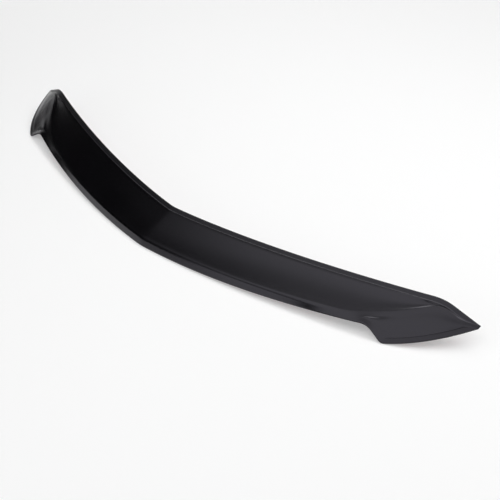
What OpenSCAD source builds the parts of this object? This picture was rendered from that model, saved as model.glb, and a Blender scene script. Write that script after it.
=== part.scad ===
// Stick-on hood bug deflector: one moulded acrylic shield with foam tape on its back.
// Millimetres. X runs across the vehicle, Y backwards over the hood and Z up.
// The shield lies face up as it rests on a floor: on the nose and the two low wing corners.
// The origin is the middle of its footprint, on that floor.
// Its shape is worked out for the right half and mirrored, so the two halves always agree.

/* [Span and sweep] */
// Width between the points of the two tips, whose ends are then blunted
span = 1353; // [1240:1:1460]
// Length of the soft turn at the nose crease, each side of the middle
nose_round = 6; // [2:0.5:20]
// Sweep of the lower edge where it leaves the nose, in degrees
low_sweep = 3.9; // [2:0.1:6]
// Sweep of the top edge where it leaves the nose, in degrees
top_sweep = 4.9; // [2:0.1:7]
// Setback of each notch behind the nose
notch_back = 112; // [90:1:130]
// How the bow of the lower edge grows outwards, where 2 is a parabola
low_bow = 1.95; // [1.6:0.05:2.4]
// How the bow of the top edge grows outwards, where 2 is a parabola
top_bow = 1.75; // [1.6:0.05:2.2]

/* [Section] */
// Thickness of the acrylic
wall = 3; // [2:0.1:4]
// Depth of the shield at the nose, from its lower edge back to its top edge
nose_run = 84; // [70:1:100]
// Height of the top edge above the lower edge at the nose
nose_height = 58; // [45:1:70]
// How far the ridge stands behind the lower edge at the nose
ridge_run = 5; // [3:0.5:9]
// How far the ridge stands above the lower edge at the nose
ridge_rise = 15; // [12:0.5:20]
// How far the ridge stands behind the lower edge at a notch
ridge_end_run = 13; // [12:0.5:18]
// How far the ridge stands above the lower edge at a notch
ridge_end_rise = 6; // [5:0.5:10]
// Length of the rounding of the ridge, each side of it
ridge_round = 4; // [2:0.5:5]
// Hollow of the main face between the ridge and the top rim
face_hollow = 2; // [0:0.1:3.5]

/* [Wings] */
// Height of each notch above the nose
notch_rise = 22; // [15:0.5:30]
// How far the low corner stands outboard of the notch
step_out = 37; // [30:0.5:44]
// How far the low corner stands forward of the notch
step_forward = 1.5; // [0:0.5:8]
// Height of the low corner above the lower edge of the nose
corner_lift = 1; // [0:0.1:3]
// How far the bend of the top edge stands outboard of the notch
bend_out = 81; // [70:0.5:90]
// How far the bend of the top edge stands behind the notch
bend_run = 112.5; // [100:0.5:122]
// How far the bend of the top edge stands above the notch
bend_lift = 46.5; // [38:0.5:52]
// How the rise of the top edge grows outwards, where 2 is a parabola
top_lift = 1.2; // [1:0.1:2]
// How far the tip stands outboard of the bend
tip_out = 73.5; // [62:0.5:86]
// How far the tip stands behind the bend
tip_run = 21.5; // [12:0.5:32]
// How far the tip hangs below the bend
tip_drop = 33.5; // [24:0.5:40]
// Width of the blunt end of the tip
tip_w = 8; // [6:0.5:12]
// Outward pull of the wing's lower edge, from its low corner
belly_out = 70; // [62:0.5:78]
// Backward pull of the wing's lower edge, from its low corner
belly_back = 40; // [32:0.5:50]
// Upward pull of the wing's lower edge, from its low corner
belly_rise = 11; // [6:0.5:16]
// Crown of the wing's face, across the wing
wing_crown = 1.5; // [0:0.1:3]
// Width of the wing below which its crown fades towards the tip
crown_len = 60; // [40:1:80]
// Length of the fillet in the notch, along each side
notch_fillet = 14; // [8:0.5:18]
// Length of the rounding of the low corner, along each side
corner_round = 6; // [3:0.5:9]
// Length of the rounding of the bend, along each side
bend_round = 22; // [8:0.5:26]

/* [Fold] */
// Where the ridge starts to turn up into the fold, inboard of the notch
fold_start = 60; // [40:1:80]
// Outward pull of the fold's turn, from the notch
fold_out = 12; // [8:0.5:20]
// Backward pull of the fold's turn, from the notch
fold_back = 23; // [18:0.5:28]
// Upward pull of the fold's turn, from the notch
fold_rise = 8.5; // [5:0.5:12]
// Length of the rounding of the fold, each side of it
fold_round = 5; // [3:0.5:8]

/* [Rim] */
// Width of the flat rim along the top edge and the wings
rim_w = 9.5; // [8.5:0.5:12]
// How far the rim lies below the face that it frames
rim_step = 0.8; // [0.4:0.1:1.6]
// Width of the slope between the rim and the face
rim_slope = 2; // [1.5:0.1:3]
// Rounding of the cut edge
edge_round = 0.8; // [0.4:0.1:1.2]

/* [Foam tape] */
// Width of the foam tape
tape_w = 6.4; // [5:0.1:6.8]
// Thickness of the foam tape
tape_t = 1.1; // [0.8:0.1:1.6]
// Thickness of the release liner
liner_t = 0.2; // [0.1:0.05:0.4]
// Distance from the shield's cut edge to the tape
tape_inset = 1.6; // [1.4:0.1:1.8]
// Gap between the two tapes at the nose
nose_gap = 14; // [8:1:40]
// Distance along the wing from its low corner to the wing tape
wing_gap = 18; // [15:1:40]
// Distance from the tip to the wing tape and to the top tape
tip_gap = 34; // [26:1:60]
// Clearance between one layer and the next
layer_gap = 0.2; // [0.15:0.05:0.4]

/* [Hidden] */

// Half widths at the main places along the span
bend_x = span / 2 - tip_out;
notch_x = bend_x - bend_out;
turn_x = notch_x - fold_start;

// Setback and height at the end of the top edge
bend_back = notch_back + bend_run;
bend_rise = notch_rise + bend_lift;

// How many sections each stretch of the right half has
STRIP_N = 15;
FILLET_N = 4;
STEP_N = 3;
CORNER_N = 3;
EDGE_N = 12;
BEND_N = 4;

// How the sections of the wing crowd towards the tip, where 1 spreads them evenly
TIP_CROWD = 1.4;

// Small helpers on numbers and points
function unit(v) = v / norm(v);
function lerp(a, b, t) = a + (b - a) * t;
function bezier(a, b, c, t) = lerp(lerp(a, b, t), lerp(b, c, t), t);
function bow(t) = 4 * t * (1 - t);
function smooth(t) = t * t * (3 - 2 * t);
function clamp(t) = max(0, min(1, t));
function flip_x(p) = [-p.x, p.y, p.z];

// Distance from the middle, softened so that the nose crease is rounded
function from_nose(a) = sqrt(a * a + nose_round * nose_round) - nose_round;

// Setback of an edge: a straight sweep plus a bow that grows as a power of the distance
function setback(a, end, sweep, back, power) =
    tan(sweep) * from_nose(a) + (back - tan(sweep) * from_nose(end)) * pow(a / end, power);

// Points of the three edge lines of the strip at the distance a from the middle
function low_point(a) = [
    a,
    setback(a, notch_x, low_sweep, notch_back, low_bow),
    notch_rise * pow(a / notch_x, 2)
];
function top_point(a) = [
    a,
    nose_run + setback(a, bend_x, top_sweep, bend_back - nose_run, top_bow),
    nose_height + (bend_rise - nose_height) * pow(a / bend_x, top_lift)
];
function ridge_point(a) = low_point(a) + [
    0,
    lerp(ridge_run, ridge_end_run, pow(a / notch_x, 3)),
    lerp(ridge_rise, ridge_end_rise, pow(a / notch_x, 3))
];

// Corners of the wing and the pull points of its curved lines
notch = low_point(notch_x);
corner = [notch.x + step_out, notch.y - step_forward, corner_lift];
bend = top_point(bend_x);
tip = bend + [tip_out, tip_run, -tip_drop];
belly = corner + [belly_out, belly_back, belly_rise];
fold_pull = notch + [fold_out, fold_back, fold_rise];

// A point on the wing's lower edge, from its low corner to the tip
function wing_edge(t) = bezier(corner, belly, tip, t);

// Places where the roundings of the outline begin and end
fillet_in = low_point(notch_x - notch_fillet);
fillet_out = notch + unit(corner - notch) * notch_fillet;
corner_in = corner - unit(corner - notch) * corner_round;
corner_t = corner_round / (2 * norm(belly - corner));
tip_t = 1 - tip_w / (2 * norm(tip - belly));
bend_in = top_point(bend_x - bend_round);
bend_out_at = bend + unit(tip - bend) * bend_round;
tip_top = tip - unit(tip - bend) * tip_w / 2;

// The lower outline of the wing, from the start of the turn to the tip
wing_low = concat(
    [for (i = [1:FILLET_N]) low_point(lerp(turn_x, notch_x - notch_fillet, i / FILLET_N))],
    [for (i = [1:FILLET_N]) bezier(fillet_in, notch, fillet_out, i / FILLET_N)],
    [for (i = [1:STEP_N]) lerp(fillet_out, corner_in, i / STEP_N)],
    [for (i = [1:CORNER_N]) bezier(corner_in, corner, wing_edge(corner_t), i / CORNER_N)],
    [for (i = [1:EDGE_N]) wing_edge(lerp(corner_t, tip_t, 1 - pow(1 - i / EDGE_N, TIP_CROWD)))]
);
WING_N = len(wing_low);

// How many sections of the wing end past the bend, and how many before it
PAST_N = EDGE_N - 5;
FORE_N = WING_N - BEND_N - PAST_N;

// The top outline of the wing, with one point for each point of the lower outline
wing_top = concat(
    [for (i = [1:FORE_N]) top_point(lerp(turn_x, bend_x - bend_round, i / FORE_N))],
    [for (i = [1:BEND_N]) bezier(bend_in, bend, bend_out_at, i / BEND_N)],
    [for (i = [1:PAST_N]) lerp(bend_out_at, tip_top, i / PAST_N)]
);

// The section on which the fold meets the rim at the bend, and how far in it stops there
FOLD_N = FORE_N + BEND_N / 2;
fold_top = wing_top[FOLD_N - 1];
fold_low = wing_low[FOLD_N - 1];
fold_stop = (rim_w + rim_slope + fold_round) / norm(fold_top - fold_low);
fold_end = lerp(fold_top, fold_low, fold_stop);

// The fold climbs from the ridge to the bend, then runs on flat down the middle of the wing
function fold_point(i) =
    i < FOLD_N
        ? bezier(ridge_point(turn_x), fold_pull, fold_end, (i + 1) / FOLD_N)
        : lerp(wing_top[i], wing_low[i],
            lerp(fold_stop, 0.5, smooth((i + 1 - FOLD_N) / (WING_N - FOLD_N))));

// Stations of the right half from the nose out, each with its lower, fold and top point
nose_at = [0, 0.5, 1, 1.75];
strip_from = 3 * nose_round;
strip_at = concat(
    [for (k = nose_at) k * nose_round],
    [for (i = [0:STRIP_N]) lerp(strip_from, turn_x, i / STRIP_N)]
);
STRIP_END = len(strip_at) - 1;
right_low = concat([for (a = strip_at) low_point(a)], wing_low);
right_fold = concat([for (a = strip_at) ridge_point(a)], [for (i = [0:WING_N - 1]) fold_point(i)]);
right_top = concat([for (a = strip_at) top_point(a)], wing_top);
HALF_N = STRIP_END + WING_N;

// How far a station has come from the strip (0) into the step, the low corner, the fold and
// past the bend (1)
function step_share(i) = clamp((i - STRIP_END - FILLET_N) / FILLET_N);
function corner_share(i) = clamp((i - STRIP_END - 2 * FILLET_N - STEP_N) / CORNER_N);
function fold_share(i) = clamp((i - STRIP_END) / (2 * FILLET_N));
function past_share(i) = smooth(clamp((i - STRIP_END - FORE_N) / (BEND_N + PAST_N / 2)));

// Length along a section that spans the width w square to an edge of direction edge_dir
function slant(edge_dir, section_dir, w) =
    w / max(0.5, sqrt(1 - pow(unit(edge_dir) * unit(section_dir), 2)));

// The section at a station runs from the lower edge over the fold to the top edge.
// Each entry holds a point and its height above the smooth face.
function section(i) =
    let(
        p0 = right_low[i], p1 = right_fold[i], p2 = right_top[i],
        before = max(i - 1, 0), after = min(i + 1, HALF_N),
        len0 = norm(p1 - p0), len1 = norm(p2 - p1),
        d0 = (p1 - p0) / len0, d1 = (p2 - p1) / len1,
        past = past_share(i), share = len0 / (len0 + len1),
        r = lerp(ridge_round, fold_round, fold_share(i)) * lerp(1, 0.3, past),
        r0 = min(r, 0.3 * len0), r1 = min(r, 0.3 * len1),
        cut0 = min(edge_round, 0.15 * len0), cut1 = min(edge_round, 0.15 * len1),
        rim0 = min(slant(right_low[after] - right_low[before], d0, rim_w), 0.65 * (len0 - r0)),
        rim1 = min(slant(right_top[after] - right_top[before], d1, rim_w), 0.65 * (len1 - r1)),
        in0 = min(rim0 + rim_slope, 0.8 * (len0 - r0)),
        in1 = min(rim1 + rim_slope, 0.8 * (len1 - r1)),
        step0 = rim_step * corner_share(i) * min(1, rim0 / rim_w),
        step1 = rim_step * min(1, rim1 / rim_w),
        crown = wing_crown * step_share(i) * pow(min(1, (len0 + len1) / crown_len), 2),
        a = p1 - d0 * r0, b = p1 + d1 * r1,
        c0 = p0 + d0 * in0, c1 = p2 - d1 * in1
    )
    concat(
        [[p0 + d0 * cut0, -step0], [p0 + d0 * rim0, -step0], [c0, 0]],
        [for (t = [1 / 3, 2 / 3]) [lerp(c0, a, t), crown * lerp(bow(t), bow(t * share), past)]],
        [for (t = [0, 0.5, 1]) [bezier(a, p1, b, t), crown * past * bow(share)]],
        [for (t = [0.25, 0.5, 0.75]) [
            lerp(b, c1, t),
            lerp(-face_hollow * bow(t), crown * bow(lerp(share, 1, t)), past)
        ]],
        [[c1, 0], [p2 - d1 * rim1, -step1], [p2 - d1 * cut1, -step1]]
    );
right_half = [for (i = [0:HALF_N]) section(i)];

// Both halves in one list of stations, from the left tip to the right tip
stations = concat(
    [for (i = [HALF_N:-1:1]) [for (q = right_half[i]) [flip_x(q[0]), q[1]]]],
    right_half
);
LAST = len(stations) - 1;
SIDE = len(stations[0]) - 1;

// Unit vector out of the face at station i and place j
function face_normal(i, j) = unit(cross(
    stations[min(i + 1, LAST)][j][0] - stations[max(i - 1, 0)][j][0],
    stations[i][min(j + 1, SIDE)][0] - stations[i][max(j - 1, 0)][0]
));
normals = [for (i = [0:LAST]) [for (j = [0:SIDE]) face_normal(i, j)]];

// A point at a depth behind the face, and the row of such points across a station
function skin(i, j, depth) = stations[i][j][0] + normals[i][j] * (stations[i][j][1] - depth);
function skin_row(i, depth) = [for (j = [0:SIDE]) skin(i, j, depth)];

// The middle of the cut edge, which stands out past both skins
function edge_mid(i, edge, inner) =
    let(mid = skin(i, edge, wall / 2))
    mid + unit(mid - skin(i, inner, wall / 2)) * edge_round;

// The ring of points round the shield at a station
function shield_ring(i) = concat(
    skin_row(i, 0),
    [edge_mid(i, SIDE, SIDE - 1)],
    [for (j = [SIDE:-1:0]) skin(i, j, wall)],
    [edge_mid(i, 0, 1)]
);
shield_rings = [for (i = [0:LAST]) shield_ring(i)];

// The middle of the shield's footprint on the floor, which becomes the origin
footprint_y = [for (ring = shield_rings) for (p = ring) p.y];
home = [
    0,
    (min(footprint_y) + max(footprint_y)) / 2,
    min([for (ring = shield_rings) for (p = ring) p.z])
];

// Closed solid from rings of points, with each ring joined to the next and the ends capped.
// Each four-sided patch is split along its shorter diagonal, so both halves split alike.
// A cap is a ladder across the ring, whose rungs join the face to the back.
module loft(rings) {
    n = len(rings[0]);
    end = (len(rings) - 1) * n;
    points = [for (ring = rings) for (p = ring) p - home];
    sides = [for (i = [0:len(rings) - 2]) for (j = [0:n - 1])
        let(a = i * n + j, b = i * n + (j + 1) % n, c = b + n, d = a + n)
        each norm(points[a] - points[c]) < norm(points[b] - points[d])
            ? [[a, b, c], [a, c, d]]
            : [[a, b, d], [b, c, d]]];
    cap = concat(
        [[n - 1, 0, n - 2]],
        [for (k = [1:n / 2 - 2]) each [[k - 1, k, n - 2 - k], [k - 1, n - 2 - k, n - 1 - k]]],
        [[n / 2 - 2, n / 2 - 1, n / 2]]
    );
    first_cap = [for (t = cap) [t[0], t[2], t[1]]];
    last_cap = [for (t = cap) [end + t[0], end + t[1], end + t[2]]];
    polyhedron(points, concat(sides, first_cap, last_cap));
}

// The moulded shield, with its face, cut edges and back in one closed skin
module shield() {
    color([0.08, 0.08, 0.09]) loft(shield_rings);
}

// A point behind an edge at a place between two stations, at the distance d in from the cut
function across_at(i, edge, inner, d, depth) =
    let(a = skin(i, edge, depth), b = skin(i, inner, depth))
    a + unit(b - a) * (d - edge_round);
function across(f, edge, inner, d, depth) =
    let(i = floor(f), next = min(i + 1, LAST))
    lerp(across_at(i, edge, inner, d, depth), across_at(next, edge, inner, d, depth), f - i);

// The ring of one layer behind an edge, turned so that its loft faces outwards
function layer_ring(f, edge, depth, thick) =
    let(
        inner = edge == 0 ? 1 : edge - 1,
        near = tape_inset, far = tape_inset + tape_w,
        a = across(f, edge, inner, near, depth), b = across(f, edge, inner, far, depth),
        c = across(f, edge, inner, far, depth + thick),
        d = across(f, edge, inner, near, depth + thick)
    )
    edge == 0 ? [a, b, c, d] : [b, a, d, c];

// One layer that follows an edge between two places counted in stations from the nose
module layer(from, to, edge, side, depth, thick) {
    places = concat([from], [for (i = [floor(from) + 1:ceil(to) - 1]) i], [to]);
    ordered = side > 0 ? places : [for (k = [len(places) - 1:-1:0]) places[k]];
    loft([for (f = ordered) layer_ring(HALF_N + side * f, edge, depth, thick)]);
}

// The place along a list of points at a distance from its first point, in steps of the list
function place_at(line, d, i = 0) =
    let(step = norm(line[i + 1] - line[i]))
    d <= step ? i + d / step : place_at(line, d - step, i + 1);
function reversed(line) = [for (i = [len(line) - 1:-1:0]) line[i]];

// Where the tapes start and stop on each half, in stations from the nose
edge_from = HALF_N - EDGE_N;
wing_line = [for (i = [edge_from:HALF_N]) right_low[i]];
nose_stop = place_at(right_top, nose_gap / 2);
low_start = place_at(right_low, nose_gap / 2);
top_stop = HALF_N - place_at(reversed(right_top), tip_gap);
wing_start = edge_from + place_at(wing_line, wing_gap);
wing_stop = HALF_N - place_at(reversed(wing_line), tip_gap);

// Depths of the foam tape and of the liner behind the face
tape_depth = wall + layer_gap;
liner_depth = tape_depth + tape_t + layer_gap;

// The three runs of a layer on the side -1 or 1: top rim, lower band and wing
module top_run(side, depth, thick) {
    layer(nose_stop, top_stop, SIDE, side, depth, thick);
}
module low_run(side, depth, thick) {
    layer(low_start, STRIP_END, 0, side, depth, thick);
}
module wing_run(side, depth, thick) {
    layer(wing_start, wing_stop, 0, side, depth, thick);
}

// Foam tape, grey, on the back of the shield
module tape_top(side) {
    color([0.25, 0.25, 0.27]) top_run(side, tape_depth, tape_t);
}
module tape_low(side) {
    color([0.25, 0.25, 0.27]) low_run(side, tape_depth, tape_t);
}
module tape_wing(side) {
    color([0.25, 0.25, 0.27]) wing_run(side, tape_depth, tape_t);
}

// Release liner, red, on the back of the tape
module liner_top(side) {
    color([0.75, 0.1, 0.12]) top_run(side, liner_depth, liner_t);
}
module liner_low(side) {
    color([0.75, 0.1, 0.12]) low_run(side, liner_depth, liner_t);
}
module liner_wing(side) {
    color([0.75, 0.1, 0.12]) wing_run(side, liner_depth, liner_t);
}

shield();
tape_top(-1);  // tape_top_left
tape_top(1);  // tape_top_right
tape_low(-1);  // tape_low_left
tape_low(1);  // tape_low_right
tape_wing(-1);  // tape_wing_left
tape_wing(1);  // tape_wing_right
liner_top(-1);  // liner_top_left
liner_top(1);  // liner_top_right
liner_low(-1);  // liner_low_left
liner_low(1);  // liner_low_right
liner_wing(-1);  // liner_wing_left
liner_wing(1);  // liner_wing_right
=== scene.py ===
"""Hood bug deflector: the looks of the moulded shield, its foam tape and its liner, and the stage."""
import math

import bmesh
import bpy
import numpy as np
from bpy.props import FloatProperty, FloatVectorProperty, IntProperty, PointerProperty
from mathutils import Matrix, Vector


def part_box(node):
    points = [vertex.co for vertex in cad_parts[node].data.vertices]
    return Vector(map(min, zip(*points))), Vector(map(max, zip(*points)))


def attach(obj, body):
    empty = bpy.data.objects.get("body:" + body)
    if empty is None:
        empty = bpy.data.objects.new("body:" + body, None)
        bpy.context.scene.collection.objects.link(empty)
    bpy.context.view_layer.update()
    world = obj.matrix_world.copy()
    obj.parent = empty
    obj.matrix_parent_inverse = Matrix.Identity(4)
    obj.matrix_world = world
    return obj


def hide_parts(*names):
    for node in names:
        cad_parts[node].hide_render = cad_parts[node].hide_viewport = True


bl_info = {
    "name": "Hood bug deflector",
    "version": (1, 0, 0),
    "blender": (4, 5, 0),
    "location": "3D View > Sidebar > Deflector",
    "description": "Smooth shield, foam tape, liner and stage for a stick-on hood bug deflector",
    "category": "Add Mesh",
}

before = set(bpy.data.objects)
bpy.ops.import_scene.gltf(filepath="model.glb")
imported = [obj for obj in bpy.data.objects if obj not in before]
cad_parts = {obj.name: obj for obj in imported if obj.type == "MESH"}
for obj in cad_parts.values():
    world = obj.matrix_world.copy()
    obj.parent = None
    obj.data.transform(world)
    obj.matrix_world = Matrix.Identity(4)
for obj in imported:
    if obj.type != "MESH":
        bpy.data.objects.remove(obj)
SHIELD_LOW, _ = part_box("shield")

# How many sections of the solid each stretch of its right half has
STRIP_N, FILLET_N, STEP_N, CORNER_N, EDGE_N, BEND_N = 15, 4, 3, 3, 12, 4
# Distances of the first sections from the middle, in lengths of the nose's turn
NOSE_AT = (0, 0.5, 1, 1.75)
NOSE_N = len(NOSE_AT)
STRIP_END = NOSE_N + STRIP_N
WING_N = 2 * FILLET_N + STEP_N + CORNER_N + EDGE_N
PAST_N = EDGE_N - BEND_N - 1
FORE_N = WING_N - BEND_N - PAST_N
FOLD_N = FORE_N + BEND_N // 2
HALF_N = STRIP_END + WING_N

# Power by which the sections of a wing crowd towards its tip
TIP_CROWD = 1.4
# Step of the dense lines, in sections, and the spread of the bell curve that evens the speed along them
DENSE, EVEN = 0.05, 1.2
# Most that a rounding, a cut edge, a rim and a rim with its slope take of their side of a section
TURN_MOST, CUT_MOST, RIM_MOST, SLOPE_MOST = 0.3, 0.15, 0.65, 0.8
# Share of the fold's rounding that is left at the tip, and least sine of a section's angle with its edge
TIP_TURN, LEAST_SINE = 0.3, 0.5
# Length of the closing of each tip, in sections
TIP_CLOSE = 0.16
# Rounding of the cut edge: the angles of its points and the power that squares it up
CUT_ANGLES, CUT_POWER = (60, 35, 12, -12, -35, -60), 0.7
# Corner radii of the foam tape and of the liner, and least step to the sections at their ends
TAPE_CORNER, LINER_CORNER, END_STEP = 0.00025, 0.00006, 0.02

# Level light boards over the part, front to back: the front and back edge of each, where its ramp from
# the dim left end starts and stops, and its radiance at the left and the right end
BOARDS = (((-2.0, -0.3), (-1.87, -0.38), (0.09, 1.45)),
          ((-0.3, 0.4), (-1.65, 0.08), (0.0, 0.79)),
          ((0.4, 1.6), (-2.3, -1.5), (0.15, 2.76)))
BOARD_ENDS, BOARD_HEIGHT = (-2.8, 2.4), 1.8
# Lamps beside the part, the two sweeps behind it: centre, size, radiance, and lean and turn in degrees
LAMPS = {
    "front_box": ((0.2, -3.4, 1.0), (4.0, 2.0), 1.33, 80, 0),
    "low_sweep": ((-3.1, 2.6, 0.45), (5.4, 0.3), 1.6, -90, 50),
    "high_sweep": ((-3.1, 2.6, 0.85), (5.4, 0.5), 0.3, -90, 50),
    "left_box": ((-3.4, -0.1, 0.72), (1.2, 0.25), 0.75, -90, 90),
    "right_box": ((3.4, 0.0, 1.0), (3.0, 2.0), 0.29, -90, -90),
}
# The floor's reach and height, the share of its white that is its own near the part, and the distances
# between which that grows to all of it
FLOOR_REACH, FLOOR_HEIGHT, FLOOR_OWN, FLOOR_FADE = 60, -0.0001, 0.35, (0.6, 3)
# Brightness of the world for the lamps' light and for the camera
WORLD_DARK, WORLD_WHITE = 0.002, 0.96
# The camera: its place, its dip below level and its turn in degrees, and its lens
CAMERA_AT, CAMERA_DIP, CAMERA_TURN, CAMERA_LENS = (2.2350, -1.7216, 1.5286), 29.328, 49.934, 115.2


# Sizes and colours

def length(name, description, default):
    """A size in metres that a user may change."""
    return FloatProperty(name=name, description=description, default=default, precision=4, unit="LENGTH")


def tint(name, description, default):
    """A colour that a user may change."""
    return FloatVectorProperty(name=name, description=description, default=default, size=3,
                               min=0, max=1, subtype="COLOR")


def share(name, description, default):
    """A plain number that a user may change."""
    return FloatProperty(name=name, description=description, default=default, subtype="FACTOR", min=0, max=4)


class DeflectorShape(bpy.types.PropertyGroup):
    """Sizes of the moulded shield, as the solid has them but for the fold's rounding and the wing's rims."""
    span: length("Span", "Width between the points of the tips", 1.353)
    nose_round: length("Nose round", "Length of the soft turn at the nose crease", 0.006)
    low_sweep: FloatProperty(name="Lower sweep", description="Sweep of the lower edge at the nose",
                             default=math.radians(3.9), subtype="ANGLE")
    top_sweep: FloatProperty(name="Top sweep", description="Sweep of the top edge at the nose",
                             default=math.radians(4.9), subtype="ANGLE")
    notch_back: length("Notch setback", "How far each notch lies behind the nose", 0.112)
    low_bow: share("Lower bow", "Power by which the lower edge bows outwards", 1.95)
    top_bow: share("Top bow", "Power by which the top edge bows outwards", 1.75)
    wall: length("Wall", "Thickness of the acrylic", 0.003)
    nose_run: length("Nose depth", "Depth of the shield at the nose", 0.084)
    nose_height: length("Nose height", "Height of the top edge at the nose", 0.058)
    ridge_run: length("Ridge setback", "How far the ridge stands behind the lower edge at the nose", 0.005)
    ridge_rise: length("Ridge rise", "How far the ridge stands above the lower edge at the nose", 0.015)
    ridge_end_run: length("Ridge end setback", "The same setback at a notch", 0.013)
    ridge_end_rise: length("Ridge end rise", "The same rise at a notch", 0.006)
    ridge_round: length("Ridge rounding", "Length of the rounding each side of the ridge", 0.004)
    face_hollow: length("Face hollow", "Hollow of the main face", 0.002)
    notch_rise: length("Notch rise", "Height of each notch above the nose", 0.022)
    step_out: length("Step out", "How far the low corner stands outboard of the notch", 0.037)
    step_forward: length("Step forward", "How far the low corner stands forward of the notch", 0.0015)
    corner_lift: length("Corner lift", "Height of the low corner", 0.001)
    bend_out: length("Bend out", "How far the bend stands outboard of the notch", 0.081)
    bend_run: length("Bend back", "How far the bend stands behind the notch", 0.1125)
    bend_lift: length("Bend lift", "How far the bend stands above the notch", 0.0465)
    top_lift: share("Top lift", "Power by which the top edge rises outwards", 1.2)
    tip_out: length("Tip out", "How far the tip stands outboard of the bend", 0.0735)
    tip_run: length("Tip back", "How far the tip stands behind the bend", 0.0215)
    tip_drop: length("Tip drop", "How far the tip hangs below the bend", 0.0335)
    tip_w: length("Tip width", "Width of the blunt end of the tip", 0.008)
    belly_out: length("Belly out", "Outward pull of the wing's lower edge", 0.07)
    belly_back: length("Belly back", "Backward pull of the wing's lower edge", 0.04)
    belly_rise: length("Belly rise", "Upward pull of the wing's lower edge", 0.011)
    wing_crown: length("Wing crown", "Crown of the wing's face", 0.0015)
    crown_len: length("Crown fade", "Width of the wing below which the crown fades", 0.06)
    notch_fillet: length("Notch fillet", "Length of the fillet in the notch", 0.014)
    corner_round: length("Corner rounding", "Length of the rounding of the low corner", 0.006)
    bend_round: length("Bend rounding", "Length of the rounding of the bend", 0.022)
    fold_start: length("Fold start", "Where the ridge starts to turn up into the fold", 0.06)
    fold_out: length("Fold out", "Outward pull of the fold's turn", 0.012)
    fold_back: length("Fold back", "Backward pull of the fold's turn", 0.023)
    fold_rise: length("Fold rise", "Upward pull of the fold's turn", 0.0085)
    fold_round: length("Fold rounding", "Length of the rounding each side of the fold", 0.007)
    rim_w: length("Rim width", "Width of the flat rim", 0.0095)
    rim_step: length("Rim step", "How far the rim lies below the face", 0.0008)
    wing_step: length("Wing rim step", "How far the rims of a wing lie below its face", 0.0004)
    rim_slope: length("Rim slope", "Width of the slope between rim and face", 0.002)
    edge_round: length("Edge rounding", "Rounding of the cut edge", 0.0008)
    steps: IntProperty(name="Steps", description="Mesh sections to each section of the solid",
                       default=7, min=2, max=9)


class DeflectorTape(bpy.types.PropertyGroup):
    """Sizes of the foam tape and its liner, as the solids have them."""
    tape_w: length("Tape width", "Width of the foam tape", 0.0064)
    tape_t: length("Tape thickness", "Thickness of the foam tape", 0.0011)
    liner_t: length("Liner thickness", "Thickness of the release liner", 0.0002)
    tape_inset: length("Tape inset", "Distance from the cut edge to the tape", 0.0016)
    nose_gap: length("Nose gap", "Gap between the two tapes at the nose", 0.014)
    wing_gap: length("Wing gap", "Distance from the low corner to the wing tape", 0.018)
    tip_gap: length("Tip gap", "Distance from the tip to the tapes", 0.034)
    layer_gap: length("Layer gap", "Clearance between one layer and the next", 0.0002)


class DeflectorFinish(bpy.types.PropertyGroup):
    """Colours and gloss of the finishes and of the stage."""
    acrylic: tint("Acrylic", "Colour of the moulded acrylic", (0.0007, 0.0006, 0.001))
    acrylic_rough: share("Face roughness", "Roughness of the main face", 0.24)
    rim_rough: share("Rim roughness", "Roughness of the rim", 0.4)
    foam: tint("Foam", "Colour of the foam tape", (0.035, 0.035, 0.038))
    liner: tint("Liner", "Colour of the release liner", (0.6, 0.03, 0.035))
    floor: tint("Floor", "Colour of the floor", (0.97, 0.97, 0.97))


# Shape functions, all on whole arrays of places

def unit(v):
    """Vectors divided by their own length."""
    return v / np.linalg.norm(v, axis=-1, keepdims=True)


def lerp(a, b, t):
    """Straight mix of a and b at the share t."""
    return a + (b - a) * t


def bezier(a, b, c, t):
    """Quadratic curve from a to c, pulled towards b."""
    return lerp(lerp(a, b, t), lerp(b, c, t), t)


def bow(t):
    """Parabola that is 0 at both ends and 1 halfway."""
    return 4 * t * (1 - t)


def smooth(t):
    """Cubic step from 0 to 1 with level ends."""
    t = np.clip(t, 0, 1)
    return t * t * (3 - 2 * t)


def column(t):
    """One value for each section, shaped to scale that section's vectors."""
    return np.asarray(t, float)[..., None]


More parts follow.
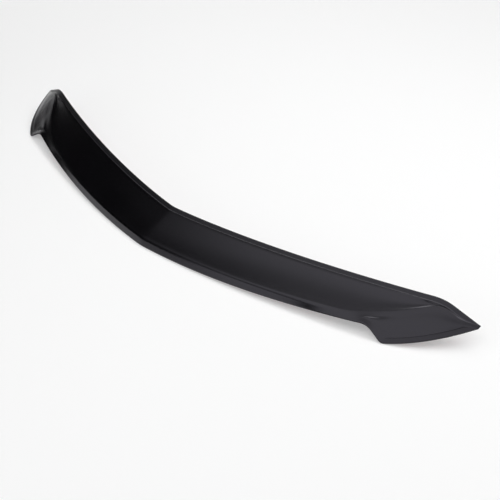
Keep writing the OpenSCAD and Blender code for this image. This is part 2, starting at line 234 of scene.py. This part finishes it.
class Lines:
    """The low, fold and top line of the right half, from the same formulas as the solid."""

    def __init__(self, s):
        self.s = s
        self.bend_x = s.span / 2 - s.tip_out
        self.notch_x = self.bend_x - s.bend_out
        self.turn_x = self.notch_x - s.fold_start
        self.notch = self.low_point(self.notch_x)
        self.corner = self.notch + (s.step_out, -s.step_forward, s.corner_lift - self.notch[2])
        self.bend = self.top_point(self.bend_x)
        self.tip = self.bend + (s.tip_out, s.tip_run, -s.tip_drop)
        self.belly = self.corner + (s.belly_out, s.belly_back, s.belly_rise)

    def setback(self, a, end, sweep, back, power):
        """Straight sweep from the nose, plus a bow that grows as a power of the distance a."""
        s = self.s
        nose = np.sqrt(a * a + s.nose_round ** 2) - s.nose_round
        far = math.hypot(end, s.nose_round) - s.nose_round
        return math.tan(sweep) * nose + (back - math.tan(sweep) * far) * (a / end) ** power

    def low_point(self, a):
        """Lower edge at the distance a from the middle: its setback, and a rise as a square."""
        s = self.s
        a = np.asarray(a, float)
        y = self.setback(a, self.notch_x, s.low_sweep, s.notch_back, s.low_bow)
        return np.stack([a, y, s.notch_rise * (a / self.notch_x) ** 2], -1)

    def top_point(self, a):
        """Top edge at the distance a from the middle: its setback, and a rise as a power."""
        s = self.s
        a = np.asarray(a, float)
        back, rise = s.notch_back + s.bend_run, s.notch_rise + s.bend_lift
        y = s.nose_run + self.setback(a, self.bend_x, s.top_sweep, back - s.nose_run, s.top_bow)
        z = s.nose_height + (rise - s.nose_height) * (a / self.bend_x) ** s.top_lift
        return np.stack([a, y, z], -1)

    def ridge_point(self, a):
        """Ridge above the lower edge, whose offset changes as a cube of the distance a."""
        s = self.s
        t = (np.asarray(a, float) / self.notch_x) ** 3
        offset = [0 * t, lerp(s.ridge_run, s.ridge_end_run, t), lerp(s.ridge_rise, s.ridge_end_rise, t)]
        return self.low_point(a) + np.stack(offset, -1)

    def wing_edge(self, t):
        """Lower edge of the wing, a quadratic curve from the low corner to the tip."""
        return bezier(self.corner, self.belly, self.tip, t)

    def strip_at(self, u):
        """Distance from the middle at the place u of the strip, even after the nose."""
        s = self.s
        knots = [k * s.nose_round for k in NOSE_AT]
        knots += list(np.linspace(3 * s.nose_round, self.turn_x, STRIP_N + 1))
        return np.interp(u, np.arange(len(knots)), knots)

    def low_pieces(self):
        """The stretches of the lower outline, each with the places that it runs between."""
        s = self.s
        to_corner = unit(self.corner - self.notch)
        fillet_x = self.notch_x - s.notch_fillet
        fillet_in, fillet_out = self.low_point(fillet_x), self.notch + to_corner * s.notch_fillet
        corner_in = self.corner - to_corner * s.corner_round
        corner_t = s.corner_round / (2 * np.linalg.norm(self.belly - self.corner))
        corner_out = self.wing_edge(corner_t)
        tip_t = 1 - s.tip_w / (2 * np.linalg.norm(self.tip - self.belly))
        return [
            (STRIP_END, lambda t: self.low_point(self.strip_at(t * STRIP_END)[:, 0])),
            (FILLET_N, lambda t: self.low_point(lerp(self.turn_x, fillet_x, t)[:, 0])),
            (FILLET_N, lambda t: bezier(fillet_in, self.notch, fillet_out, t)),
            (STEP_N, lambda t: lerp(fillet_out, corner_in, t)),
            (CORNER_N, lambda t: bezier(corner_in, self.corner, corner_out, t)),
            (EDGE_N, lambda t: self.wing_edge(lerp(corner_t, tip_t, 1 - (1 - t) ** TIP_CROWD))),
        ]

    def top_pieces(self):
        """The stretches of the top outline, each with the places that it runs between."""
        s = self.s
        to_tip = unit(self.tip - self.bend)
        bend_at = self.bend_x - s.bend_round
        bend_in, bend_out = self.top_point(bend_at), self.bend + to_tip * s.bend_round
        tip_top = self.tip - to_tip * s.tip_w / 2
        return [
            (STRIP_END, lambda t: self.top_point(self.strip_at(t * STRIP_END)[:, 0])),
            (FORE_N, lambda t: self.top_point(lerp(self.turn_x, bend_at, t)[:, 0])),
            (BEND_N, lambda t: bezier(bend_in, self.bend, bend_out, t)),
            (PAST_N, lambda t: lerp(bend_out, tip_top, t)),
        ]


def run_along(points):
    """Distance run along a line of points, from 0."""
    return np.concatenate([[0], np.cumsum(np.linalg.norm(np.diff(points, axis=0), axis=1))])


def at_places(u, known, points):
    """Points of a line at the places u, between its points at the known places."""
    return np.stack([np.interp(u, known, points[:, k]) for k in range(3)], -1)


def trace(pieces, samples=240):
    """Dense places and points along the stretches of one line, in order."""
    known, points, start = [], [], 0
    for count, curve in pieces:
        t = np.linspace(0, 1, samples)
        known.append(start + count * t)
        points.append(curve(t[:, None]))
        start += count
    return np.concatenate(known), np.concatenate(points)


def soften(values, sigma):
    """Values on a dense grid, blurred by a bell curve and reflected oddly at both ends."""
    reach = int(4 * sigma / DENSE)
    bell = np.exp(-0.5 * (np.arange(-reach, reach + 1) * DENSE / sigma) ** 2)
    head = 2 * values[0] - values[reach:0:-1]
    tail = 2 * values[-1] - values[-2:-reach - 2:-1]
    full = np.concatenate([head, values, tail])
    blurred = [np.convolve(c, bell / bell.sum(), "valid") for c in full.reshape(len(full), -1).T]
    return np.stack(blurred, -1).reshape(values.shape)


def along(pieces, grid):
    """Points of one line at the places of the dense grid.
    The line keeps its course, and the speed along it is blurred, so no place has a jump in speed."""
    known, points = trace(pieces)
    run = run_along(points)
    return at_places(soften(np.interp(grid, known, run), EVEN), run, points)


def guides(s, u):
    """Low, fold and top points of the right half at the places u, counted in sections of the solid."""
    lines = Lines(s)
    grid = np.arange(0, HALF_N + DENSE / 2, DENSE)
    low, top = along(lines.low_pieces(), grid), along(lines.top_pieces(), grid)
    at = STRIP_END + FOLD_N
    end_top, end_low = at_places(at, grid, top), at_places(at, grid, low)
    stop = (s.rim_w + s.rim_slope + s.fold_round) / np.linalg.norm(end_top - end_low)
    pull = lines.notch + (s.fold_out, s.fold_back, s.fold_rise)
    turn = column(np.clip((grid - STRIP_END) / FOLD_N, 0, 1))
    past = column(smooth((grid - at) / (WING_N - FOLD_N)))
    ridge = lines.ridge_point(lines.strip_at(grid))
    climb = bezier(lines.ridge_point(lines.turn_x), pull, lerp(end_top, end_low, stop), turn)
    ride = lerp(top, low, lerp(stop, 0.5, past))
    fold = np.where(column(grid) < STRIP_END, ridge, np.where(column(grid) < at, climb, ride))
    calm = soften(fold, 1.0)
    fold = lerp(fold, calm, column(smooth((grid - STRIP_END + 3) / 3)))
    return [at_places(u, grid, line) for line in (low, fold, top)]


def slant(edge_dir, section_dir, width):
    """Length along a section that spans a width square to the edge."""
    cosine = (unit(edge_dir) * section_dir).sum(-1)
    return width / np.maximum(LEAST_SINE, np.sqrt(1 - cosine ** 2))


def ramp(count):
    """So many even shares from 0, without the 1 at the end."""
    return np.linspace(0, 1, count + 1)[:-1]


def sections(s, u):
    """The face of the right half as a grid: base points, heights above them and how much is rim.
    A section climbs from the low edge over the fold to the top edge. It is straight but for the
    rounding of the fold, and its heights give the sunk rims, their slopes, the hollow and the crown."""
    low, fold, top = guides(s, u)
    len0, len1 = np.linalg.norm(fold - low, axis=-1), np.linalg.norm(top - fold, axis=-1)
    d0, d1 = unit(fold - low), unit(top - fold)
    in_wing = u - STRIP_END
    stepped = smooth((in_wing - FILLET_N) / FILLET_N)
    rimmed = smooth((in_wing - 2 * FILLET_N - STEP_N) / CORNER_N)
    past = smooth((in_wing - FORE_N) / (BEND_N + PAST_N / 2))
    split = len0 / (len0 + len1)
    turn = lerp(s.ridge_round, s.fold_round, smooth(in_wing / (2 * FILLET_N))) * lerp(1, TIP_TURN, past)

    def widths(edge, direction, reach):
        """Widths on one side of the fold: its rounding, its cut edge, its rim, and its rim with the slope."""
        rounding, cut = np.minimum(turn, TURN_MOST * reach), np.minimum(s.edge_round, CUT_MOST * reach)
        flat = slant(np.gradient(edge, axis=0), direction, s.rim_w)
        rim_width = np.minimum(flat, RIM_MOST * (reach - rounding))
        return rounding, cut, rim_width, np.minimum(rim_width + s.rim_slope, SLOPE_MOST * (reach - rounding))

    r0, cut0, rim0, in0 = widths(low, d0, len0)
    r1, cut1, rim1, in1 = widths(top, d1, len1)
    sink0 = s.wing_step * rimmed * np.minimum(1, rim0 / s.rim_w)
    sink1 = lerp(s.rim_step, s.wing_step, past) * np.minimum(1, rim1 / s.rim_w)
    crown = s.wing_crown * stepped * np.minimum(1, (len0 + len1) / s.crown_len) ** 2
    base, height, rim = [], [], []

    def row(point, lift, mask):
        base.append(point)
        height.append(np.broadcast_to(lift, len0.shape))
        rim.append(np.broadcast_to(mask, len0.shape))

    def up(distance):
        return low + d0 * column(distance)

    def down(distance):
        return top - d1 * column(distance)

    for t in ramp(4):
        row(up(lerp(cut0, rim0, t)), -sink0, rimmed)
    for t in ramp(5):
        row(up(lerp(rim0, in0, t)), -sink0 * (1 - smooth(t)), rimmed * (1 - smooth(t)))
    for t in ramp(6):
        row(up(lerp(in0, len0 - r0, t)), crown * lerp(bow(t), bow(t * split), past), 0)
    for t in ramp(8):
        row(bezier(up(len0 - r0), fold, fold + d1 * column(r1), t), crown * past * bow(split), 0)
    for t in ramp(12):
        flat = lerp(-s.face_hollow * bow(t), crown * bow(lerp(split, 1, t)), past)
        row(down(lerp(len1 - r1, in1, t)), flat, 0)
    for t in ramp(5):
        row(down(lerp(in1, rim1, t)), -sink1 * smooth(t), smooth(t))
    for t in np.linspace(0, 1, 5):
        row(down(lerp(rim1, cut1, t)), -sink1, 1)
    return tuple(np.stack(x, 1) for x in (base, height, rim))


def mirrored(grid):
    """A grid of the right half with its mirror image before it."""
    left = grid[:0:-1].copy()
    if grid.ndim == 3:
        left[..., 0] *= -1
    return np.concatenate([left, grid])


def face_normals(base):
    """Unit normals of a grid, each the mean of the normals of the strips beside it."""
    run = np.gradient(base, axis=0)
    strips = unit(np.cross((run[:, 1:] + run[:, :-1]) / 2, np.diff(base, axis=1)))
    return unit(np.concatenate([strips[:, :1], strips[:, 1:] + strips[:, :-1], strips[:, -1:]], axis=1))


def places(s):
    """Places of the sections of the right half, with extra ones in the rounding of the tip."""
    body = np.linspace(0, HALF_N, HALF_N * s.steps + 1)
    nose = np.linspace(0, NOSE_N, NOSE_N * s.steps + 9)
    end = HALF_N - TIP_CLOSE * (1 - np.sin(np.linspace(0, math.pi / 2, 7)))
    return np.unique(np.concatenate([nose, body[(body > NOSE_N) & (body < end[0])], end]).round(6))


def shield_grid(s):
    """Points round every section of the shield, and masks of its rim, cut edge and back.
    The back lies one wall behind the face. Each cut edge is half a rounded rectangle across
    the wall, and the wall closes to nothing in the rounding of the tip."""
    u = places(s)
    base, height, rim = (mirrored(x) for x in sections(s, u))
    normal = face_normals(base)
    close = mirrored(column(np.sqrt(1 - (1 - np.clip((HALF_N - u) / TIP_CLOSE, 0, 1)) ** 2)))
    half = s.wall / 2 * close[..., None]
    middle = base + normal * (column(height) - s.wall / 2)
    face, back = middle + normal * half, middle - normal * half
    angle, count = np.radians(CUT_ANGLES), len(CUT_ANGLES)
    rise, out = np.sign(angle) * np.abs(np.sin(angle)) ** CUT_POWER, np.cos(angle) ** CUT_POWER

    def cut(edge, inner, order):
        away = unit(base[:, edge] - base[:, inner])
        n, m, h = normal[:, edge], middle[:, edge], half[:, 0]
        ring = [m + n * h * rise[k] + away * s.edge_round * close * out[k] for k in order]
        return np.stack(ring, 1)

    top = cut(-1, -2, range(count))
    low = cut(0, 1, range(count - 1, -1, -1))
    points = np.concatenate([face, top, back[:, ::-1], low], axis=1)
    edge, side = np.ones((len(rim), count)), np.ones_like(rim)
    masks = {"rim": (rim, edge, rim[:, ::-1], edge), "cut": (0 * side, edge, 0 * side, edge),
             "back": (0 * side, 0 * edge, side, 0 * edge)}
    return points, {name: np.concatenate(parts, 1) for name, parts in masks.items()}


def to_origin(points):
    """How far the shield's own lines lie from the part's origin, from the solid's box."""
    low = points.reshape(-1, 3).min(0)
    return np.array([0, low[1] - SHIELD_LOW[1], low[2] - SHIELD_LOW[2]])


def line_places(line_points, u, distance):
    """Place at a distance along a line of points, whose places are u."""
    return np.interp(distance, run_along(line_points), u)


def layer_grid(s, t, run, side, depth, thick, corner):
    """Points round every section of one layer behind an edge, from end to end.
    The section is a flat rectangle with rounded corners, on the shield's own normals."""
    u = np.linspace(0, HALF_N, HALF_N * s.steps + 1)
    low, _, top = guides(s, u)
    wing = u >= HALF_N - EDGE_N
    if run == "top":
        first = line_places(top, u, t.nose_gap / 2)
        last = line_places(top[::-1], u[::-1], t.tip_gap)
    elif run == "low":
        first, last = line_places(low, u, t.nose_gap / 2), STRIP_END
    else:
        first = line_places(low[wing], u[wing], t.wing_gap)
        last = line_places(low[::-1], u[::-1], t.tip_gap)
    inside = u[(u > first + END_STEP) & (u < last - END_STEP)]
    base, height, _ = sections(s, np.unique(np.concatenate([[first, last], inside])))
    normal = face_normals(base)
    edge, inner = (-1, -2) if run == "top" else (0, 1)
    into = unit(base[:, inner] - base[:, edge])
    n = normal[:, edge]
    start = base[:, edge] + n * column(height[:, edge] - depth - thick / 2) - into * s.edge_round
    angle = np.radians(np.arange(0, 360, 22.5) + 11.25)
    across = np.sign(np.cos(angle)) * (t.tape_w / 2 - corner) + corner * np.cos(angle)
    up = np.sign(np.sin(angle)) * (thick / 2 - corner) + corner * np.sin(angle)
    ring = [start + into * (t.tape_inset + t.tape_w / 2 + a) + n * b for a, b in zip(across, up)]
    grid = np.stack(ring, 1)
    if side < 0:
        grid = grid * (-1, 1, 1)
    if (side > 0) == (run == "top"):
        grid = grid[:, ::-1]
    return grid


def ring_mesh(name, grid, masks=None, caps=False):
    """A closed skin over rings of points, with the doubled points of closed ends merged."""
    rows, n = grid.shape[:2]
    i, j = np.meshgrid(np.arange(rows - 1), np.arange(n), indexing="ij")
    k = (j + 1) % n
    quads = np.stack([i * n + j, (i + 1) * n + j, (i + 1) * n + k, i * n + k], -1).reshape(-1, 4)
    faces = quads.tolist()
    if caps:
        faces += [list(range(n)), list(range((rows - 1) * n, rows * n))[::-1]]
    mesh = bpy.data.meshes.new(name)
    mesh.from_pydata(grid.reshape(-1, 3).tolist(), [], faces)
    for key, values in (masks or {}).items():
        layer = mesh.attributes.new(key, "FLOAT", "POINT")
        layer.data.foreach_set("value", values.astype(np.float32).ravel())
    work = bmesh.new()
    work.from_mesh(mesh)
    bmesh.ops.remove_doubles(work, verts=work.verts, dist=1e-6)
    if caps:
        bmesh.ops.recalc_face_normals(work, faces=work.faces)
    work.to_mesh(mesh)
    work.free()
    mesh.shade_smooth()
    if caps:
        mesh.set_sharp_from_angle(angle=math.radians(50))
    thing = bpy.data.objects.new(name, mesh)
    bpy.context.scene.collection.objects.link(thing)
    return thing


def place(piece, material, slot, *nodes):
    """Gives a piece its material, and puts it on the body in place of its solids. The slot is not used."""
    piece.data.materials.append(material)
    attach(piece, "root")
    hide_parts(*nodes)


# Materials

class Socket:
    """A node's output that takes part in sums, each of which adds one Math node."""

    def __init__(self, nodes, out):
        self.nodes, self.out = nodes, out

    def maths(self, kind, *values):
        return self.nodes.add("ShaderNodeMath", {"operation": kind}, *values)

    def __add__(self, other):
        return self.maths("ADD", self, other)

    def __sub__(self, other):
        return self.maths("SUBTRACT", self, other)

    def __rsub__(self, other):
        return self.maths("SUBTRACT", other, self)

    def __mul__(self, other):
        return self.maths("MULTIPLY", self, other)

    __radd__, __rmul__ = __add__, __mul__

    def maximum(self, other):
        return self.maths("MAXIMUM", self, other)

    def step(self, low, high):
        """Smooth step from 0 at low to 1 at high."""
        settings = {"interpolation_type": "SMOOTHSTEP"}
        values = {"Value": self, "From Min": low, "From Max": high}
        return self.nodes.add("ShaderNodeMapRange", settings, values)


class Nodes:
    """The node tree of one material or world, and the one way in which its nodes are made."""

    def __init__(self, owner):
        owner.use_nodes = True
        self.tree = owner.node_tree
        self.tree.nodes.clear()

    def add(self, kind, settings=None, *values, out=0):
        """A node of a kind: its settings first, then the values or links of its sockets."""
        node = self.tree.nodes.new(kind)
        for key, value in (settings or {}).items():
            setattr(node, key, value)
        pairs = []
        for index, value in enumerate(values):
            pairs += list(value.items()) if isinstance(value, dict) else [(index, value)]
        for key, value in pairs:
            if isinstance(value, Socket):
                self.tree.links.new(value.out, node.inputs[key])
            else:
                node.inputs[key].default_value = value
        return Socket(self, node.outputs[out]) if node.outputs else node

    def mask(self, name):
        """One of the piece's own masks."""
        return self.add("ShaderNodeAttribute", {"attribute_name": name}, out="Fac")

    def spot(self, stretch=(1, 1, 1)):
        """The place on the object, stretched along its axes."""
        point = self.add("ShaderNodeTexCoord", out="Object")
        return self.add("ShaderNodeMapping", {"vector_type": "POINT"}, {"Vector": point, "Scale": stretch})

    def noise(self, scale, detail=3.0, rough=0.5, spot=None):
        """Cloudy values between 0 and 1 at so many cells to the metre."""
        values = {"Vector": spot or self.spot(), "Scale": scale, "Detail": detail, "Roughness": rough}
        return self.add("ShaderNodeTexNoise", None, values)

    def cells(self, scale, spot=None):
        """Distance to the nearest of so many cells to the metre."""
        return self.add("ShaderNodeTexVoronoi", None, {"Vector": spot or self.spot(), "Scale": scale})

    def mix(self, amount, a, b):
        """Mix of two colours."""
        a, b = ((*c, 1) if isinstance(c, tuple) else c for c in (a, b))
        return self.add("ShaderNodeMix", {"data_type": "RGBA"}, {0: amount, 6: a, 7: b}, out=2)

    def bump(self, height, strength, distance, normal=None):
        """Normal shifted by a height, as deep as distance in metres."""
        values = {"Strength": strength, "Distance": distance, "Height": height}
        if normal is not None:
            values["Normal"] = normal
        return self.add("ShaderNodeBump", None, values)

    def finish(self, shader, kind="ShaderNodeOutputMaterial"):
        """Links the last shader to the output."""
        self.add(kind, None, {"Surface": shader})


def scaled(colour, by):
    """A colour made lighter or darker."""
    return tuple(min(1, c * by) for c in colour)


def acrylic_material(f):
    """Satin black moulded acrylic: an even face, a finer-grained rim, a cut edge made paler by a painted
    highlight, and a duller back.
    """
    material = bpy.data.materials.new("moulded_acrylic")
    n = Nodes(material)
    rim, cut, back = n.mask("rim"), n.mask("cut"), n.mask("back")
    cloud = n.noise(9, 4)
    haze = n.noise(140, 4, 0.6)
    grain = n.noise(2600, 2)
    specks = n.cells(420).step(0.16, 0.08) * n.noise(60, 2).step(0.52, 0.66)
    colour = tuple(f.acrylic)
    tone = n.mix(cloud, scaled(colour, 0.85), scaled(colour, 1.2))
    tone = n.mix(specks * 0.3, tone, scaled(colour, 4))
    # Painted highlight: the cut edge is painted up to three times paler, patchy by the haze, to stand for the
    # light along its rounding
    tone = n.mix(cut * (haze * 0.5 + 0.3), tone, scaled(colour, 3))
    tone = n.mix(back * 0.6, tone, scaled(colour, 2.5))
    rough = f.acrylic_rough + (rim * (1 - cut)) * (f.rim_rough - f.acrylic_rough)
    rough = rough + (cloud - 0.5) * 0.05 + (haze - 0.5) * 0.05 + cut * 0.35 + back * 0.08
    wave = n.bump(cloud, 0.05, 0.002)
    surface = n.bump(grain, 0.05, 0.00005, wave)
    values = {"Base Color": tone, "Roughness": rough, "IOR": 1.49, "Normal": surface,
              "Specular Tint": (0.9, 0.87, 1, 1)}
    n.finish(n.add("ShaderNodeBsdfPrincipled", None, values))
    return material


def foam_material(f):
    """Closed-cell foam: dull, with fine cells of uneven depth."""
    material = bpy.data.materials.new("closed_cell_foam")
    n = Nodes(material)
    cells = n.cells(1700)
    cloud = n.noise(40, 3)
    colour = tuple(f.foam)
    tone = n.mix(cells, scaled(colour, 0.6), scaled(colour, 1.35))
    tone = n.mix(cloud * 0.3, tone, scaled(colour, 1.8))
    surface = n.bump(cells, 0.5, 0.0002)
    values = {"Base Color": tone, "Roughness": 0.88 + (cloud - 0.5) * 0.1, "Normal": surface}
    n.finish(n.add("ShaderNodeBsdfPrincipled", None, values))
    return material


def liner_material(f):
    """Red release film: glossy, faintly streaked along its run, with soft ripples from winding."""
    material = bpy.data.materials.new("release_film")
    n = Nodes(material)
    streak = n.noise(500, 3, 0.6, n.spot((0.05, 1, 1)))
    ripple = n.noise(45, 2)
    colour = tuple(f.liner)
    tone = n.mix(streak, scaled(colour, 0.85), scaled(colour, 1.1))
    surface = n.bump(ripple, 0.25, 0.0015, n.bump(streak, 0.1, 0.0001))
    values = {"Base Color": tone, "Roughness": 0.24 + (streak - 0.5) * 0.12, "Normal": surface}
    n.finish(n.add("ShaderNodeBsdfPrincipled", None, values))
    return material


def floor_material(f):
    """Pale floor. To the camera and in mirrored rays part of its white is its own, and far off all of it."""
    material = bpy.data.materials.new("pale_floor")
    n = Nodes(material)
    colour = (*f.floor, 1)
    lit = n.add("ShaderNodeBsdfDiffuse", None, {"Color": colour})
    own = n.add("ShaderNodeEmission", None, {"Color": colour, "Strength": 1.0})
    seen, glossy, through = (n.add("ShaderNodeLightPath", out=f"Is {kind} Ray")
                             for kind in ("Camera", "Glossy", "Transmission"))
    shown = seen.maximum(glossy).maximum(through)
    far = n.add("ShaderNodeVectorMath", {"operation": "LENGTH"}, n.spot(), out="Value").step(*FLOOR_FADE)
    n.finish(n.add("ShaderNodeMixShader", None, shown * (FLOOR_OWN + (1 - FLOOR_OWN) * far), lit, own))
    return material


def board_material(name, ramp_ends, radiance):
    """Glow of a light board, which dims towards the left by a smooth step."""
    material = bpy.data.materials.new(name)
    n = Nodes(material)
    across = n.add("ShaderNodeSeparateXYZ", None, n.add("ShaderNodeTexCoord", out="Object"), out="X")
    left, right = radiance
    tone = n.mix(across.step(*ramp_ends), (left / right,) * 3, (1, 1, 1))
    n.finish(n.add("ShaderNodeEmission", None, {"Color": tone, "Strength": right}))
    return material


# Operators, one for each piece or group of like pieces

class DEFLECTOR_OT_shield(bpy.types.Operator):
    """Makes the moulded shield as one closed skin over the solid's own lines"""
    bl_idname = "deflector.shield"
    bl_label = "Shield"

    def execute(self, context):
        s = context.scene.deflector_shape
        points, masks = shield_grid(s)
        piece = ring_mesh("moulded_shield", points - to_origin(points), masks)
        place(piece, acrylic_material(context.scene.deflector_finish), "acrylic", "shield")
        return {"FINISHED"}


def make_layers(context, kind, depth, thick, corner, material, slot):
    """Makes the six runs of one layer: top rim, lower band and wing on each side."""
    s, t = context.scene.deflector_shape, context.scene.deflector_tape
    points, _ = shield_grid(s)
    home = to_origin(points)
    for run in ("top", "low", "wing"):
        for side, word in ((-1, "left"), (1, "right")):
            grid = layer_grid(s, t, run, side, depth, thick, corner) - home
            piece = ring_mesh(f"{kind}_run_{run}_{word}", grid, caps=True)
            place(piece, material, slot, f"{kind}_{run}_{word}")


class DEFLECTOR_OT_tape(bpy.types.Operator):
    """Makes the six runs of foam tape behind the rim, the lower band and the wings"""
    bl_idname = "deflector.tape"
    bl_label = "Foam tape"

    def execute(self, context):
        s, t = context.scene.deflector_shape, context.scene.deflector_tape
        material = foam_material(context.scene.deflector_finish)
        make_layers(context, "tape", s.wall + t.layer_gap, t.tape_t, TAPE_CORNER, material, "foam_tape")
        return {"FINISHED"}


class DEFLECTOR_OT_liner(bpy.types.Operator):
    """Makes the six runs of red release liner on the foam tape"""
    bl_idname = "deflector.liner"
    bl_label = "Release liner"

    def execute(self, context):
        s, t = context.scene.deflector_shape, context.scene.deflector_tape
        material = liner_material(context.scene.deflector_finish)
        depth = s.wall + t.tape_t + 2 * t.layer_gap
        make_layers(context, "liner", depth, t.liner_t, LINER_CORNER, material, "liner")
        return {"FINISHED"}


def stage_plane(name, left, right, front, back, height, material):
    """A level stage plane that faces up, or down if its left and right are swapped."""
    mesh = bpy.data.meshes.new(name)
    corners = ((left, front, height), (right, front, height), (right, back, height), (left, back, height))
    mesh.from_pydata(corners, [], [(0, 1, 2, 3)])
    mesh.materials.append(material)
    plane = bpy.data.objects.new(name, mesh)
    bpy.context.scene.collection.objects.link(plane)
    return plane


def softbox(name, centre, size, radiance, lean, turn):
    """A rectangular lamp of an even radiance that shines down, but for its lean and turn in degrees."""
    lamp = bpy.data.lights.new(name, "AREA")
    lamp.shape, lamp.size, lamp.size_y = "RECTANGLE", *size
    lamp.energy = radiance * math.pi * size[0] * size[1]
    thing = bpy.data.objects.new(name, lamp)
    thing.location = centre
    thing.rotation_euler = (math.radians(lean), 0, math.radians(turn))
    thing.visible_camera = False
    bpy.context.scene.collection.objects.link(thing)


class DEFLECTOR_OT_stage(bpy.types.Operator):
    """Makes the pale floor, the soft studio light and the camera"""
    bl_idname = "deflector.stage"
    bl_label = "Stage"

    def execute(self, context):
        scene = context.scene
        f = scene.deflector_finish
        reach = FLOOR_REACH
        stage_plane("floor", -reach, reach, -reach, reach, FLOOR_HEIGHT, floor_material(f))
        left, right = BOARD_ENDS
        for number, ((front, back), ramp_ends, radiance) in enumerate(BOARDS):
            name = f"light_board_{number}"
            glow = board_material(name, ramp_ends, radiance)
            stage_plane(name, right, left, front, back, BOARD_HEIGHT, glow).visible_camera = False
        for name, values in LAMPS.items():
            softbox(name, *values)
        # The world is white to the camera and nearly dark to all else, so the lamps alone light the part
        world = bpy.data.worlds.new("studio")
        scene.world = world
        n = Nodes(world)
        seen = n.add("ShaderNodeLightPath", out="Is Camera Ray")
        tone = n.mix(seen, (WORLD_DARK,) * 3, (WORLD_WHITE,) * 3)
        n.finish(n.add("ShaderNodeBackground", None, {"Color": tone, "Strength": 1.0}),
                 "ShaderNodeOutputWorld")
        camera = bpy.data.cameras.new("camera")
        camera.lens, camera.sensor_width, camera.clip_end = CAMERA_LENS, 36, 200
        eye = bpy.data.objects.new("camera", camera)
        eye.location = CAMERA_AT
        eye.rotation_euler = (math.radians(90 - CAMERA_DIP), 0, math.radians(CAMERA_TURN))
        scene.collection.objects.link(eye)
        scene.camera = eye
        scene.view_settings.view_transform = "Standard"
        return {"FINISHED"}


class DEFLECTOR_PT_panel(bpy.types.Panel):
    """Lists the sizes, the colours and the steps of the build"""
    bl_label = "Deflector"
    bl_space_type = "VIEW_3D"
    bl_region_type = "UI"
    bl_category = "Deflector"

    def draw(self, context):
        for group in ("deflector_shape", "deflector_tape", "deflector_finish"):
            values = getattr(context.scene, group)
            for key in values.__annotations__:
                self.layout.prop(values, key)
        for step in ("shield", "tape", "liner", "stage"):
            self.layout.operator(f"deflector.{step}")


CLASSES = (DeflectorShape, DeflectorTape, DeflectorFinish, DEFLECTOR_OT_shield, DEFLECTOR_OT_tape,
           DEFLECTOR_OT_liner, DEFLECTOR_OT_stage, DEFLECTOR_PT_panel)


def register():
    for cls in CLASSES:
        bpy.utils.register_class(cls)
    bpy.types.Scene.deflector_shape = PointerProperty(type=DeflectorShape)
    bpy.types.Scene.deflector_tape = PointerProperty(type=DeflectorTape)
    bpy.types.Scene.deflector_finish = PointerProperty(type=DeflectorFinish)


def unregister():
    for name in ("deflector_shape", "deflector_tape", "deflector_finish"):
        delattr(bpy.types.Scene, name)
    for cls in reversed(CLASSES):
        bpy.utils.unregister_class(cls)


def main():
    """Makes every piece and the stage."""
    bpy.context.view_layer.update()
    register()
    bpy.ops.deflector.stage()
    bpy.ops.deflector.shield()
    bpy.ops.deflector.tape()
    bpy.ops.deflector.liner()
    bpy.context.view_layer.update()


if __name__ == "__main__":
    main()
